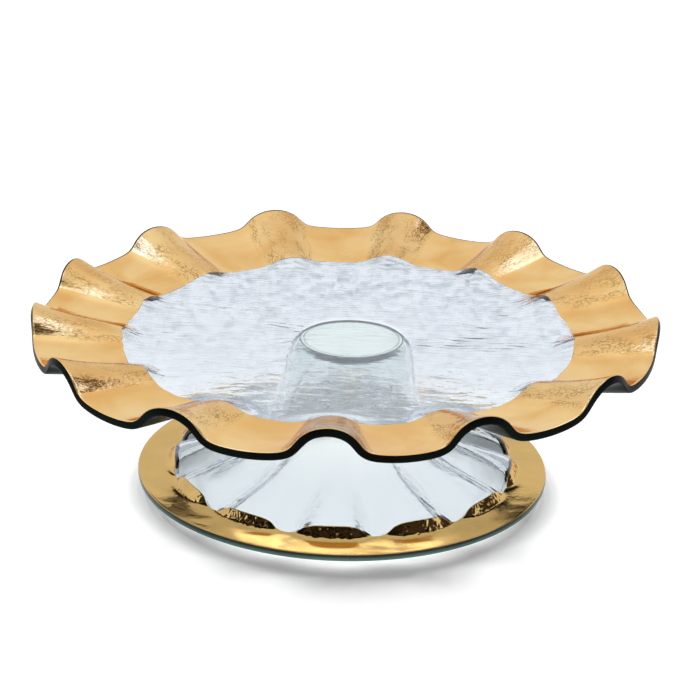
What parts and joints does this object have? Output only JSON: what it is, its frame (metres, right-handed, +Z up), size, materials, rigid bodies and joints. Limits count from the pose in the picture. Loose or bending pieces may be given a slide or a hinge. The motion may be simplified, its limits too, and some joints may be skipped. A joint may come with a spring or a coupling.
{
  "type": "glass cake stand",
  "caption": "Cake stand of bent clear glass: a ruffled plate with a gold rim band, bonded on a pleated bell-shaped pedestal with a gold brim.",
  "frame": {"origin": "on the table surface, under the middle of the pedestal's brim", "axes": "+Z up; -Y towards the front; +X to the right as seen from the front"},
  "size_m": [0.3578, 0.359, 0.1064],
  "materials": {
    "clear_glass": "fire-polished, faintly blue-green",
    "fired_gold": "bright fired gold",
    "clear_adhesive": "clear, cured"
  },
  "bodies": {
    "root": {"plate_glass": "clear_glass", "plate_gold_band": "fired_gold", "bond_film": "clear_adhesive", "pedestal_glass": "clear_glass", "pedestal_gold_band": "fired_gold"}
  },
  "joints": []
}
